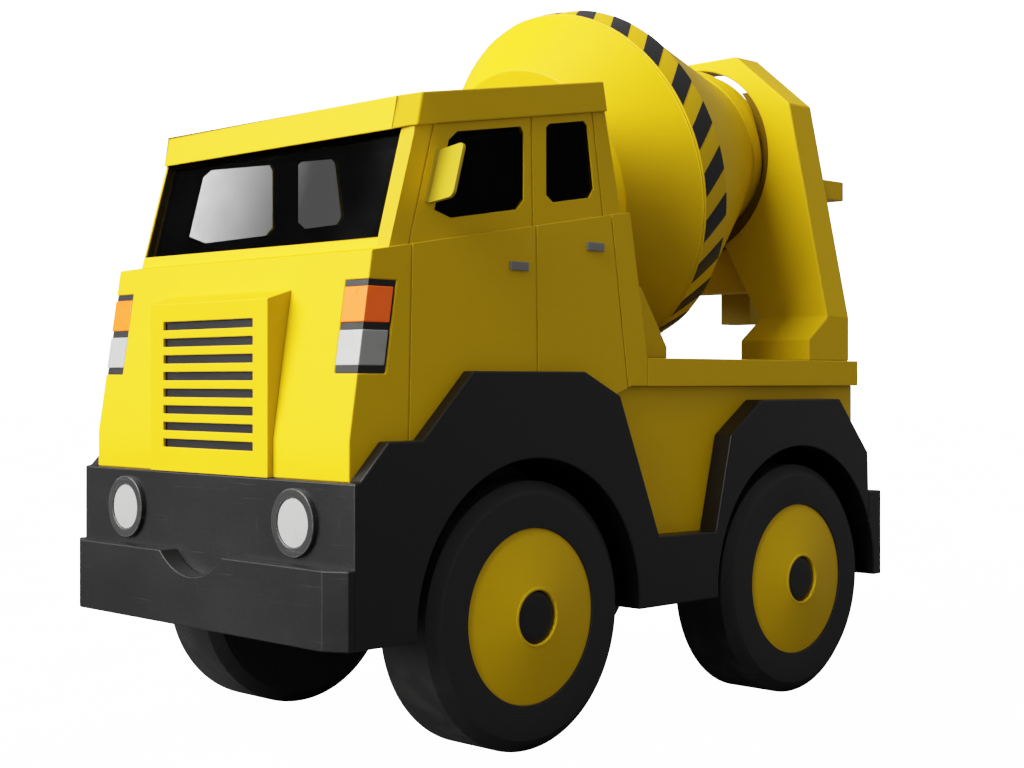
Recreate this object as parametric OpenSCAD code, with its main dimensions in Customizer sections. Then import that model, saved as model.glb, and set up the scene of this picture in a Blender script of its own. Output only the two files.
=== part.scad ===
// Toy cement mixer truck with a turning drum, rolling wheels and a swinging chute.
// The nose faces -Y, up is +Z and the ground is the plane Z = 0.
// A station is a distance along the truck, measured back from the front bumper corners.

/* [Body] */
// Half width over the fenders
fender_half_w = 75; // [72:0.5:78]
// Half width of the cab and of the load bed
cab_half_w = 69.8; // [69:0.1:70.5]
// Height of the underside of the fenders and the bumpers
skirt_z = 41.4; // [40:0.2:42.4]
// Thickness of the cab walls
cab_wall = 3; // [2:0.1:4]
// Depth of the door seams
seam_depth = 0.5; // [0.3:0.1:0.8]
// Width of the door seams
seam_w = 0.8; // [0.5:0.1:1.2]

/* [Wheels] */
// Tread radius
tyre_r = 44; // [42:0.5:46]
// Radius of the yellow wheel disc, which is also the tyre bore
disc_r = 28.7; // [26:0.1:30]
// Radius of the black hub cap
hub_cap_r = 8.8; // [7.5:0.1:9.4]
// Radius of the steel axles
axle_r = 2.5; // [2:0.1:3]
// Running clearance between a turning part and its bore
run_gap = 0.06; // [0.04:0.01:0.1]

/* [Drum] */
// Largest outer radius of the drum
drum_r = 67.3; // [64:0.1:67.6]
// Radius of the flat front end of the drum
drum_front_r = 49; // [44:0.5:52]
// Outer radius of the neck that runs in the saddle
neck_r = 33; // [31:0.1:33.2]
// Wall thickness of the drum
drum_wall = 3; // [2:0.1:4]
// Radius of the drum pivot pin
pivot_r = 3; // [2.5:0.1:3.5]
// Number of hazard stripes around the drum
stripe_count = 24; // [12:2:24]

/* [Chute] */
// Half width of the chute spout
spout_half_w = 8; // [6:0.5:10]
// Height of the lower end of the spout
spout_z = 145.4; // [142:0.2:152]

/* [Hidden] */
// Curve quality
$fn = 96;
small_fn = 48;
eps = 0.01;
cut = 1;
reach = 100;
full_turn = 360;

// Overall length and the station that sits over the origin
nose_y = -4.2;
tail_y = 291.2;
mid_y = (nose_y + tail_y) / 2;

// Axles and wheels
axle_z = tyre_r;
front_axle_y = 77.9;
rear_axle_y = 224.3;
axle_end_x = 70.4;
boss_end_x = 44.8;
boss_r = 7;
tyre_outer_x = 73.5;
tyre_inner_x = 45.6;
tyre_bevel = 3.3;
tyre_edge_drop = 4.1;
tyre_web = 3;
disc_face_x = 72.8;
hub_tail_x = 45.3;
hub_boss_r = 8;
hub_rim_w = 3.2;
hub_web_w = 3;
hub_cone_x = 75.6;
hub_lip_x = 75.9;
hub_lip_w = 0.7;
hub_lip_slope = 0.4;
cap_face_x = 75.2;
cap_depth = 4.2;
cap_round = 0.8;

// Bumpers, front panel and fenders
bumper_top_z = 65;
bumper_bend_x = 67.6;
notch_r = 24.2;
notch_z = 81.8;
rear_bumper_top_z = 75.6;
rear_bumper_y = 280.9;
panel_y = 2.3;
panel_top_z = 90.4;
arch_r = 51.3;
well_wall = 2;
well_inner_x = 41;
fender_tail_y = 271.8;
fender_tail_z = 91.5;
fender_side = [
  [panel_y, skirt_z], [panel_y, panel_top_z], [4.3, 90.6], [15.5, 102.3], [29, 102.3],
  [50.3, 123.5], [101.7, 123.5], [119.3, 115.3], [140, 66], [172.2, 65.6], [181.1, 100.5],
  [200.1, 113.3], [251.2, 113.3], [271.3, fender_tail_z], [fender_tail_y, 76.9], [fender_tail_y, skirt_z]
];
lining_y = [6.3, 267.3];
lining_step_y = 119.8;

// Chassis plate
belly_z = 45.4;
chassis_half_w = 40.8;
chassis_y = [6.4, 267.2];
rail_half_w = 38;
rail_wall = 4;
rail_top_z = 62;
rail_y = [40, 262];

// Load tub and load bed
bed_bottom_z = 118.5;
bed_top_z = 128.5;
bed_front_y = 139.7;
bed_wall = 4;
bed_skin = 3;
tub_half_w = 66.7;
tub_wall = 2.6;
tub_side = [
  [112, rail_top_z], [267.2, rail_top_z], [267.2, fender_tail_z], [fender_tail_y, fender_tail_z],
  [fender_tail_y, bed_bottom_z], [112, bed_bottom_z]
];
tub_hollow = [
  [114.6, 64.6], [264.6, 64.6], [264.6, 94.1], [269.2, 94.1], [269.2, 115.9], [114.6, 115.9]
];

// Cab: side outline with the raked front, greenhouse and roof
knee_z = 102.6;
cab_front_y = 4.3;
brow = [13.1, 159.6];
lamp_rake = (brow[0] - cab_front_y) / (brow[1] - knee_z);
cab_side = [
  [cab_front_y, panel_top_z], [cab_front_y, knee_z], brow, [130.3, 179.1],
  [bed_front_y, bed_top_z], [bed_front_y, bed_bottom_z], [130.5, bed_bottom_z],
  [119.3, 114.6], [44, 114.6], [32, 100], [14, 98], [8, panel_top_z]
];
cab_hollow = [
  [7.4, 80], [7.4, 103], [14.4, 148.4], [131.2, 148.4], [136.4, 120], [136.4, 110], [30, 80]
];
top_half_w = 68.2;
glasshouse = [
  [19, 159.8], [29.7, 198.4], [119, 213], [126.8, 178.5], [126.8, 170], [19, 155]
];
top_wall = 1.8;
cabin = [
  [23.5, 150], [23.5, 163.2], [33.2, 199], [37.6, 216], [115.4, 216], [123.7, 178.5], [123.7, 150]
];
roof_side = [
  [26.9, 197.6], glasshouse[1], glasshouse[2], [116.9, 223.1], [33.7, 209.2], [29.2, 208.3]
];
roof_half_w = 69.3;
roof_bend_x = 62.6;
roof_lean = 12.5;
roof_turn = 33.3;
low_seams = [[[27.4, 96], [29, 164]], [[84, 110], [83.1, 173]], [[130.2, 110], [120, 179]]];
high_seams = [[[28.8, 161.6], [39.4, 201]], [[83.1, 170.8], [82.4, 209]], [[117.7, 176.6], [111.8, 213.5]]];

// Cab glazing and its black liner
shield_half_w = 64.1;
shield_bend_x = 64.5;
shield_lean = 15.5;
shield_turn = 24;
shield_z = [164.1, 198.2];
shield_recess = 0.35;
shield_t = 2.85;
shield_hole = [
  [12, 164.1], [27, 164.1], [37.5, 201.5], [12, 201.5]
];
door_glass_front = [
  [39.6, 173.4], [46.6, 171.4], [75.9, 176.2], [79.1, 179.6], [79.1, 201.4], [77.6, 203.4],
  [49.4, 198.8], [45.7, 195.7]
];
door_glass_rear = [
  [89.6, 182], [92.9, 179.8], [110.6, 182.7], [113, 186], [109.8, 207.2], [108, 208.6],
  [91.2, 205.8], [89.6, 204.4]
];
cabin_half_w = 66.3;
liner_wall = 0.8;
liner_outer = [
  [23.6, 150], [23.6, 163.2], [32.8, 197.2], [115.8, 211.6], [123.6, 178.5], [123.6, 150]
];
liner_inner = [
  [24.4, 150.8], [24.4, 163.1], [33.4, 196.5], [115.2, 210.6], [122.8, 178.4], [122.8, 150.8]
];
glass_gap = 0.1;
glass_t = 1.3;

// Mirrors and door handles
mirror_y = 36.7;
mirror_z = 175.3;
mirror_lean = 15.9;
mirror_turn = -11.7;
mirror_root = 1;
mirror_w = 14.7;
mirror_h = 17.6;
mirror_t = 1.2;
mirror_corner = 1.6;
handle_l = 8.3;
handle_h = 2.9;
handle_out = 0.9;
handle_at = [[74.9, 157.6], [111.7, 166]];

// Grille, corner lamps and headlights
grille_half_w = 32.8;
grille_front_y = 2.1;
grille_gap = 0.01;
grille_lip_z = 148.9;
grille_side = [
  [grille_front_y, panel_top_z], [grille_front_y, 146], [slide_y(grille_lip_z) - grille_gap, grille_lip_z],
  [cab_front_y - grille_gap, knee_z], [cab_front_y - grille_gap, panel_top_z]
];
insert_half_w = 27;
insert_y = 3.3;
insert_z = [96.4, 142.4];
insert_side = [
  [insert_y, insert_z[0]], [insert_y, insert_z[1]], [slide_y(insert_z[1]) - grille_gap, insert_z[1]],
  [cab_front_y - grille_gap, knee_z], [cab_front_y - grille_gap, insert_z[0]]
];
slot_count = 8;
slot_half_w = 25.1;
slot_first_z = 98.4;
slot_pitch = 5.54;
slot_h = 2.8;
lamp_inner_x = 58.9;
lamp_depth = 11.1;
lamp_inset = 0.4;
lamp_z = [122.6, 150.8];
turn_z = [138, 148.8];
marker_z = [125, 135.7];
lens_wall = 2;
lens_depth = 10.2;
headlight_x = 46.8;
headlight_z = 77.4;
barrel_r = 9;
bezel_r = 10.5;
bezel_y = 0.8;
bezel_floor = 1;
lens_r = 7.6;
lens_y = 1.2;

// Drum axis and profile, measured along the axis from the front rim
drum_tilt = 14.7;
drum_y = 173.5;
drum_z = 197.3;
front_s = -23.5;
rim_s = 0.6;
rim_step = 0.6;
band_s = 13.1;
cone_end_r = 35.2;
collar_s = 75;
collar_end_s = 80.7;
collar_r = 36;
neck_end_s = 88.4;
boss_back_s = -8;
pivot_boss_r = 8;
pivot_front_s = -38;
pivot_back_s = -10;
pivot_head_r = 5.5;
pivot_head_t = 2;
stripe_t = 0.5;
stripe_phase = 0.75;
stripe_slant = 35.5;
stripe_w = 7.1;
stripe_reach = 6;

// Drum pedestal on the load bed
bulkhead_half_w = 62;
bulkhead_side = [
  [139.8, 128.5], [159.8, 128.5], [159.8, 132.8], [145.3, 154.2], [135, 154.2]
];
tower_half_w = 15;
tower_side = [
  [141, 128.5], [159.8, 128.5], [159.8, 146.6], [145, 203], [132.9, 203], [141.2, 171], [139, 150]
];

// Rear arch with its saddle and guard
frame_y = [251.5, 266.9];
frame_out_x = 68.8;
frame_in_x = 35.2;
foot_y = 238.8;
foot_top_z = 146;
toe_top_z = 137;
shoulder = [50.2, 234];
crown = [22.9, 256.8];
web_top = [16.3, 178.5];
web_low = [28.6, 157.8];
web_y = [256.5, 266.9];
hole_r = 39.4;
hole_z = 213.7;
saddle_y = [253.4, 266.9];
saddle_top_z = 241.4;
saddle_step_s = 81.4;
collar_gap = 1;
guard_x = [51, 56.4];
guard_y = [276.4, 281.6];
guard_z = [195.6, 203.6];

// Chute, its bracket and its hinge pin
bracket_half_w = 7;
bracket_end_y = 277.4;
bracket_z = [163.6, 169];
chute_pin_y = 272.4;
chute_pin_r = 2;
pin_head_t = 2;
pin_head_r = 3.4;
pin_top_z = 175.4;
thrust_gap = 0.2;
knuckle_r = 4.4;
knuckle_h = 8;
knuckle_web = 2;
knuckle_top_z = 172;
chute_wall = 1.6;
spout_y = [281.5, 291.2];
funnel_y = 271;
funnel_z = 178;
funnel_top_z = 186;
throat_z = 170;

// Station of the raked cab front and of the windshield plane at a height
function slide_y(z) = cab_front_y + (z - knee_z) * lamp_rake;

function shield_y(z) = glasshouse[0][0] + (z - glasshouse[0][1]) * tan(shield_lean);

// Puts stations into the shared frame
module placed() {
  translate([0, -mid_y, 0]) children();
}

// A side view outline, extruded across the truck from x0 to x1
module across(x0, x1, outline) {
  translate([x0, 0, 0])
    rotate([90, 0, 90])
      linear_extrude(x1 - x0)
        polygon(outline);
}

// A plate drawn in front view, from y0 to y1
module front_plate(y, outline) {
  translate([0, y[1], 0])
    rotate([90, 0, 0])
      linear_extrude(y[1] - y[0])
        polygon(outline);
}

module box(x, y, z) {
  translate([x[0], y[0], z[0]])
    cube([x[1] - x[0], y[1] - y[0], z[1] - z[0]]);
}

// A round bar along X
module cross_rod(x0, x1, r, y, z, fn = $fn) {
  translate([x0, y, z])
    rotate([0, 90, 0])
      cylinder(r = r, h = x1 - x0, $fn = fn);
}

// A round along Y, from y0 to y1
module cross_y(y0, y1, r) {
  translate([0, y0, 0])
    rotate([-90, 0, 0])
      cylinder(r = r, h = y1 - y0);
}

// Children drawn along Z are turned onto the drum axis
module on_drum() {
  translate([0, drum_y, drum_z])
    rotate([drum_tilt - 90, 0, 0])
      children();
}

module both_sides() {
  children();
  mirror([1, 0, 0]) children();
}

// A shallow engraved line on the +X side, from the low point to the high point of a side view line
module seam_cut(line, face_x) {
  low = line[0];
  high = line[1];
  across(face_x - seam_depth, face_x + seam_depth, [
    [low[0] - seam_w / 2, low[1]], [low[0] + seam_w / 2, low[1]],
    [high[0] + seam_w / 2, high[1]], [high[0] - seam_w / 2, high[1]]
  ]);
}

module wheel_wells(r, x0, x1) {
  both_sides() {
    for (y = [front_axle_y, rear_axle_y]) {
      cross_rod(x0, x1, r, y, axle_z);
    }
  }
}

// A block that follows the raked cab front, z0 to z1 high and d0 to d1 behind the face
module raked_block(x0, x1, z, d0, d1) {
  across(x0, x1, [
    [slide_y(z[0]) + d0, z[0]], [slide_y(z[0]) + d1, z[0]],
    [slide_y(z[1]) + d1, z[1]], [slide_y(z[1]) + d0, z[1]]
  ]);
}

// Cuts the front corner of a leaning face, starting at half width x and turning back by turn
module corner_cut(x, y, z, lean, turn) {
  both_sides() {
    translate([x, y, z])
      rotate([-lean, 0, 0])
        rotate([0, 0, turn])
          translate([0, -reach, -reach])
            cube([reach, reach, 2 * reach]);
  }
}

// ---------------------------------------------------------------- lower body

module chassis() {
  color([0.11, 0.11, 0.12]) placed() {
    difference() {
      union() {
        box([-chassis_half_w, chassis_half_w], chassis_y, [skirt_z, belly_z]);
        both_sides() box([rail_half_w - rail_wall, rail_half_w], rail_y, [belly_z - eps, rail_top_z]);
        for (y = [front_axle_y, rear_axle_y]) {
          cross_rod(-boss_end_x, boss_end_x, boss_r, y, axle_z);
        }
      }
      for (y = [front_axle_y, rear_axle_y]) {
        cross_rod(-boss_end_x - cut, boss_end_x + cut, axle_r + run_gap, y, axle_z);
      }
    }
  }
}

module fender_shell() {
  color([0.12, 0.12, 0.13]) placed() {
    difference() {
      union() {
        difference() {
          across(-fender_half_w, fender_half_w, fender_side);
          box([-tub_half_w, tub_half_w], lining_y, [skirt_z - cut, bed_top_z]);
          box([-cab_half_w, cab_half_w], [lining_y[0], lining_step_y], [skirt_z - cut, bed_top_z]);
          box([-cab_half_w, cab_half_w], [panel_y - cut, lining_y[0] + eps], [panel_top_z, bed_top_z]);
          box(
            [-tub_half_w, tub_half_w],
            [lining_y[1] - eps, fender_tail_y + cut],
            [fender_tail_z, bed_top_z]
          );
        }
        intersection() {
          wheel_wells(arch_r + well_wall, well_inner_x, cab_half_w + eps);
          box([-fender_half_w, fender_half_w], [panel_y, fender_tail_y], [skirt_z, bed_bottom_z]);
        }
      }
      wheel_wells(arch_r, well_inner_x + well_wall, fender_half_w + cut);
      wheel_wells(boss_r + run_gap, well_inner_x - cut, well_inner_x + well_wall + cut);
      translate([0, 0, headlight_z]) headlight_at() cross_y(-cut, lining_y[0] + cut, barrel_r);
    }
  }
}

module front_bumper() {
  color([0.13, 0.13, 0.14]) placed() {
    difference() {
      box([-fender_half_w, fender_half_w], [nose_y, panel_y], [skirt_z, bumper_top_z]);
      corner_cut(bumper_bend_x, nose_y, skirt_z, 0, atan(-nose_y / (fender_half_w - bumper_bend_x)));
      translate([0, 0, notch_z]) cross_y(nose_y - cut, panel_y + cut, notch_r);
    }
  }
}

module rear_bumper() {
  color([0.13, 0.13, 0.14]) placed() {
    difference() {
      box([-fender_half_w, fender_half_w], [fender_tail_y, rear_bumper_y], [skirt_z, rear_bumper_top_z]);
      wheel_wells(arch_r, well_inner_x + well_wall, fender_half_w + cut);
    }
  }
}

module load_tub() {
  color([0.93, 0.78, 0.1]) placed() {
    difference() {
      across(-tub_half_w, tub_half_w, tub_side);
      across(tub_wall - tub_half_w, tub_half_w - tub_wall, tub_hollow);
      wheel_wells(arch_r + well_wall, well_inner_x, tub_half_w + cut);
    }
  }
}

module load_bed() {
  color([0.93, 0.78, 0.1]) placed() {
    difference() {
      box([-cab_half_w, cab_half_w], [bed_front_y, fender_tail_y], [bed_bottom_z, bed_top_z]);
      box(
        [bed_wall - cab_half_w, cab_half_w - bed_wall],
        [bed_front_y + bed_wall, fender_tail_y - bed_wall],
        [bed_bottom_z - cut, bed_top_z - bed_skin]
      );
    }
  }
}

// ---------------------------------------------------------------- cab

module door_openings(x0, x1) {
  both_sides() {
    across(x0, x1, door_glass_front);
    across(x0, x1, door_glass_rear);
  }
}

module cab_shell() {
  color([0.96, 0.82, 0.1]) placed() {
    difference() {
      union() {
        across(-cab_half_w, cab_half_w, cab_side);
        difference() {
          across(-top_half_w, top_half_w, glasshouse);
          corner_cut(shield_bend_x, glasshouse[1][0], glasshouse[1][1], shield_lean, shield_turn);
        }
      }
      across(cab_wall - cab_half_w, cab_half_w - cab_wall, cab_hollow);
      across(top_wall - top_half_w, top_half_w - top_wall, cabin);
      across(-shield_half_w, shield_half_w, shield_hole);
      door_openings(cabin_half_w - cut, cab_half_w + cut);
      both_sides() {
        raked_block(lamp_inner_x, cab_half_w + cut, lamp_z, -cut, lamp_depth);
        for (line = low_seams) {
          seam_cut(line, cab_half_w);
        }
        for (line = high_seams) {
          seam_cut(line, top_half_w);
        }
      }
    }
  }
}

module cab_roof() {
  color([0.97, 0.83, 0.11]) placed() {
    difference() {
      across(-roof_half_w, roof_half_w, roof_side);
      corner_cut(roof_bend_x, roof_side[0][0], roof_side[0][1], roof_lean, roof_turn);
    }
  }
}

module cab_liner() {
  color([0.02, 0.02, 0.02]) placed() {
    difference() {
      across(-cabin_half_w, cabin_half_w, liner_outer);
      across(liner_wall - cabin_half_w, cabin_half_w - liner_wall, liner_inner);
      across(-shield_half_w, shield_half_w, shield_hole);
      door_openings(cabin_half_w - liner_wall - cut, cab_half_w);
    }
  }
}

module windshield() {
  color([0.1, 0.1, 0.11, 0.6]) placed() across(-shield_half_w, shield_half_w, [
    for (z = shield_z) [shield_y(z) + shield_recess, z],
    for (z = [shield_z[1], shield_z[0]]) [shield_y(z) + shield_recess + shield_t, z]
  ]);
}

module side_glass() {
  color([0.1, 0.1, 0.11, 0.6]) placed()
    door_openings(cabin_half_w + glass_gap, cabin_half_w + glass_gap + glass_t);
}

module left_mirror() {
  color([0.95, 0.8, 0.1]) placed() mirror_plate();
}

module right_mirror() {
  color([0.95, 0.8, 0.1]) placed() mirror([1, 0, 0]) mirror_plate();
}

// A leaning plate with clipped outer corners that stands on the +X wall of the greenhouse
module mirror_plate() {
  difference() {
    translate([top_half_w, mirror_y, mirror_z])
      rotate([-mirror_lean, 0, 0])
        rotate([0, 0, mirror_turn])
          front_plate([0, mirror_t], [
            [-mirror_root, 0], [mirror_w - mirror_corner, 0], [mirror_w, mirror_corner],
            [mirror_w, mirror_h - mirror_corner], [mirror_w - mirror_corner, mirror_h],
            [-mirror_root, mirror_h]
          ]);
    across(-top_half_w, top_half_w, glasshouse);
  }
}

module door_handles() {
  color([0.35, 0.35, 0.36]) placed() both_sides() {
    for (p = handle_at) {
      translate([cab_half_w, p[0] - handle_l / 2, p[1] - handle_h / 2])
        cube([handle_out, handle_l, handle_h]);
    }
  }
}

// ---------------------------------------------------------------- front end

module grille_surround() {
  color([0.96, 0.82, 0.1]) placed() {
    difference() {
      across(-grille_half_w, grille_half_w, grille_side);
      across(-insert_half_w, insert_half_w, insert_side);
      for (i = [0 : slot_count - 1]) {
        box(
          [-slot_half_w, slot_half_w],
          [grille_front_y - cut, insert_side[0][0] + eps],
          [slot_first_z + i * slot_pitch, slot_first_z + i * slot_pitch + slot_h]
        );
      }
    }
  }
}

module grille_insert() {
  color([0.1, 0.1, 0.1]) placed() across(-insert_half_w, insert_half_w, insert_side);
}

module lamp_housings() {
  color([0.05, 0.05, 0.05]) placed() both_sides() difference() {
    raked_block(lamp_inner_x, cab_half_w - lamp_inset, lamp_z, lamp_inset, lamp_depth);
    for (z = [turn_z, marker_z]) {
      difference() {
        raked_block(lamp_inner_x - cut, cab_half_w + cut, z, -cut, lens_depth);
        raked_block(lamp_inner_x - cut, cab_half_w - lens_wall, z, lens_wall, lamp_depth);
      }
    }
  }
}

module corner_lenses(z) {
  both_sides() difference() {
    raked_block(lamp_inner_x, cab_half_w, z, 0, lens_depth);
    raked_block(lamp_inner_x - cut, cab_half_w - lens_wall, [z[0] - cut, z[1] + cut], lens_wall, lamp_depth);
  }
}

module turn_lenses() {
  color([1, 0.5, 0.05]) placed() corner_lenses(turn_z);
}

module marker_lenses() {
  color([0.9, 0.9, 0.92]) placed() corner_lenses(marker_z);
}

module headlight_at() {
  both_sides() translate([headlight_x, 0, 0]) children();
}

module headlight_bezels() {
  color([0.45, 0.46, 0.47]) placed() translate([0, 0, headlight_z]) headlight_at() difference() {
    union() {
      cross_y(bezel_y, panel_y, bezel_r);
      cross_y(bezel_y, lining_y[0], barrel_r);
    }
    cross_y(bezel_y - cut, lining_y[0] - bezel_floor, lens_r);
  }
}

module headlight_lenses() {
  color([0.86, 0.87, 0.88]) placed() translate([0, 0, headlight_z]) headlight_at()
    cross_y(lens_y, lining_y[0] - bezel_floor, lens_r);
}

// ---------------------------------------------------------------- drum and its supports

module drum_pedestal() {
  color([0.93, 0.78, 0.1]) placed() difference() {
    union() {
      across(-bulkhead_half_w, bulkhead_half_w, bulkhead_side);
      across(-tower_half_w, tower_half_w, tower_side);
    }
    on_drum() translate([0, 0, pivot_front_s - cut])
      cylinder(r = pivot_r + run_gap, h = front_s - pivot_front_s + cut);
  }
}

module drum_shell() {
  color([0.95, 0.8, 0.1]) placed() on_drum() rotate_extrude() polygon([
    [pivot_r, front_s], [drum_front_r, front_s], [drum_r - rim_step, 0], [drum_r, rim_s],
    [drum_r, band_s], [cone_end_r, collar_s], [collar_r, collar_s], [collar_r, collar_end_s],
    [neck_r, collar_end_s], [neck_r, neck_end_s], [neck_r - drum_wall, neck_end_s],
    [neck_r - drum_wall, collar_s], [drum_r - drum_wall, band_s], [drum_r - drum_wall, rim_s],
    [drum_front_r - drum_wall / 2, front_s + drum_wall], [pivot_boss_r, front_s + drum_wall],
    [pivot_boss_r, boss_back_s], [pivot_r, boss_back_s]
  ]);
}

module hazard_stripes() {
  color([0.08, 0.08, 0.09]) placed() on_drum() intersection() {
    difference() {
      translate([0, 0, rim_s]) cylinder(r = drum_r + stripe_t, h = band_s - rim_s);
      translate([0, 0, rim_s - cut]) cylinder(r = drum_r, h = band_s - rim_s + 2 * cut);
    }
    for (i = [0 : stripe_count - 1]) {
      rotate([0, 0, i * full_turn / stripe_count + stripe_phase])
        translate([drum_r, 0, (rim_s + band_s) / 2])
          rotate([stripe_slant, 0, 0])
            cube([stripe_reach, stripe_w, 2 * band_s], center = true);
    }
  }
}

module drum_pivot_pin() {
  color([0.7, 0.7, 0.72]) placed() on_drum() {
    translate([0, 0, pivot_front_s - pivot_head_t - run_gap]) cylinder(r = pivot_head_r, h = pivot_head_t);
    translate([0, 0, pivot_front_s - pivot_head_t - run_gap])
      cylinder(r = pivot_r, h = pivot_back_s - pivot_front_s + pivot_head_t);
  }
}

module hole_bore(y0, y1) {
  translate([0, 0, hole_z]) cross_y(y0, y1, hole_r);
}

module rear_frame() {
  color([0.94, 0.79, 0.1]) placed() difference() {
    union() {
      difference() {
        front_plate(frame_y, [
          [-frame_out_x, foot_top_z], [-shoulder[0], shoulder[1]], [-crown[0], crown[1]],
          crown, shoulder, [frame_out_x, foot_top_z]
        ]);
        front_plate([frame_y[0] - cut, frame_y[1] + cut], [
          [-frame_in_x, foot_top_z - cut], [-frame_in_x, foot_top_z], [-web_top[0], web_top[1]],
          web_top, [frame_in_x, foot_top_z], [frame_in_x, foot_top_z - cut]
        ]);
      }
      front_plate(web_y, [
        [-web_low[0], web_low[1]], [-web_top[0], web_top[1] + eps], [web_top[0], web_top[1] + eps], web_low
      ]);
      both_sides() across(frame_in_x, frame_out_x, [
        [foot_y, bed_top_z], [foot_y, toe_top_z], [frame_y[0], foot_top_z + eps],
        [frame_y[1], foot_top_z + eps], [frame_y[1], bed_top_z]
      ]);
      box([-bracket_half_w, bracket_half_w], [frame_y[1] - eps, bracket_end_y], bracket_z);
    }
    hole_bore(frame_y[0] - cut, frame_y[1] + cut);
    translate([0, chute_pin_y, bracket_z[0] - cut])
      cylinder(r = chute_pin_r, h = bracket_z[1] - bracket_z[0] + 2 * cut, $fn = small_fn);
  }
}

module neck_saddle() {
  color([0.5, 0.38, 0.05]) placed() difference() {
    intersection() {
      hole_bore(saddle_y[0], saddle_y[1]);
      box([-frame_out_x, frame_out_x], saddle_y, [hole_z - hole_r - cut, saddle_top_z]);
    }
    on_drum() {
      translate([0, 0, collar_s]) cylinder(r = neck_r + run_gap, h = reach);
      translate([0, 0, saddle_step_s - reach]) cylinder(r = collar_r + collar_gap, h = reach);
    }
  }
}

module rear_guard() {
  color([0.93, 0.78, 0.1]) placed() {
    both_sides() box(guard_x, [frame_y[1], guard_y[1]], guard_z);
    box([-guard_x[1], guard_x[1]], guard_y, guard_z);
  }
}

// ---------------------------------------------------------------- chute

module chute_pin() {
  color([0.7, 0.7, 0.72]) placed() translate([0, chute_pin_y, 0]) {
    translate([0, 0, bracket_z[0] - pin_head_t]) cylinder(r = pin_head_r, h = pin_head_t, $fn = small_fn);
    translate([0, 0, bracket_z[0] - pin_head_t])
      cylinder(r = chute_pin_r, h = pin_top_z - bracket_z[0] + pin_head_t, $fn = small_fn);
  }
}

module chute() {
  color([0.95, 0.8, 0.1]) placed() difference() {
    union() {
      difference() {
        across(-spout_half_w, spout_half_w, [
          [funnel_y, funnel_top_z], [spout_y[1], funnel_top_z], [spout_y[1], spout_z],
          [spout_y[0], spout_z], [spout_y[0], throat_z], [funnel_y, funnel_z]
        ]);
        across(chute_wall - spout_half_w, spout_half_w - chute_wall, [
          [funnel_y + chute_wall, funnel_top_z + cut], [spout_y[1] - chute_wall, funnel_top_z + cut],
          [spout_y[1] - chute_wall, spout_z - cut], [spout_y[0] + chute_wall, spout_z - cut],
          [spout_y[0] + chute_wall, throat_z + chute_wall / 2],
          [funnel_y + chute_wall, funnel_z + chute_wall / 2]
        ]);
      }
      translate([0, chute_pin_y, bracket_z[1] + thrust_gap])
        cylinder(r = knuckle_r, h = knuckle_h, $fn = small_fn);
      box(
        [-knuckle_web, knuckle_web],
        [chute_pin_y, spout_y[0] + eps],
        [bracket_z[1] + thrust_gap, knuckle_top_z]
      );
    }
    translate([0, chute_pin_y, bracket_z[1] - cut])
      cylinder(r = chute_pin_r + run_gap, h = pin_top_z - bracket_z[1] + 2 * cut, $fn = small_fn);
  }
}

// ---------------------------------------------------------------- wheels

module axle(y) {
  color([0.72, 0.72, 0.74]) placed() cross_rod(-axle_end_x, axle_end_x, axle_r, y, axle_z);
}

module front_axle() {
  axle(front_axle_y);
}

module rear_axle() {
  axle(rear_axle_y);
}

// Places a wheel part drawn along Z (Z is the outward X) on one corner
module wheel_at(y, side) {
  placed() translate([0, y, axle_z])
    rotate([0, side * 90, 0])
      children();
}

module tyre(y, side) {
  color([0.07, 0.07, 0.08]) wheel_at(y, side) rotate_extrude() polygon([
    [hub_boss_r, tyre_inner_x], [tyre_r - tyre_edge_drop, tyre_inner_x],
    [tyre_r, tyre_inner_x + tyre_bevel], [tyre_r, tyre_outer_x - tyre_bevel],
    [tyre_r - tyre_edge_drop, tyre_outer_x], [disc_r, tyre_outer_x],
    [disc_r, tyre_inner_x + tyre_web], [hub_boss_r, tyre_inner_x + tyre_web]
  ]);
}

module hub(y, side) {
  color([0.93, 0.77, 0.1]) wheel_at(y, side) rotate_extrude() polygon([
    [axle_r, hub_tail_x], [hub_boss_r, hub_tail_x], [hub_boss_r, disc_face_x - hub_web_w],
    [disc_r - hub_rim_w, disc_face_x - hub_web_w], [disc_r - hub_rim_w, tyre_inner_x + tyre_web],
    [disc_r, tyre_inner_x + tyre_web], [disc_r, disc_face_x],
    [hub_cap_r + hub_lip_w + hub_lip_slope, hub_cone_x], [hub_cap_r + hub_lip_w, hub_lip_x],
    [hub_cap_r, hub_lip_x], [hub_cap_r, cap_face_x - cap_depth], [axle_r, cap_face_x - cap_depth]
  ]);
}

module hub_cap(y, side) {
  color([0.1, 0.1, 0.1]) wheel_at(y, side) rotate_extrude() polygon([
    [0, cap_face_x - cap_depth], [hub_cap_r, cap_face_x - cap_depth], [hub_cap_r, cap_face_x - cap_round],
    [hub_cap_r - cap_round, cap_face_x], [0, cap_face_x]
  ]);
}

module front_left_tyre() { tyre(front_axle_y, 1); }
module front_right_tyre() { tyre(front_axle_y, -1); }
module rear_left_tyre() { tyre(rear_axle_y, 1); }
module rear_right_tyre() { tyre(rear_axle_y, -1); }
module front_left_hub() { hub(front_axle_y, 1); }
module front_right_hub() { hub(front_axle_y, -1); }
module rear_left_hub() { hub(rear_axle_y, 1); }
module rear_right_hub() { hub(rear_axle_y, -1); }
module front_left_cap() { hub_cap(front_axle_y, 1); }
module front_right_cap() { hub_cap(front_axle_y, -1); }
module rear_left_cap() { hub_cap(rear_axle_y, 1); }
module rear_right_cap() { hub_cap(rear_axle_y, -1); }

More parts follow.
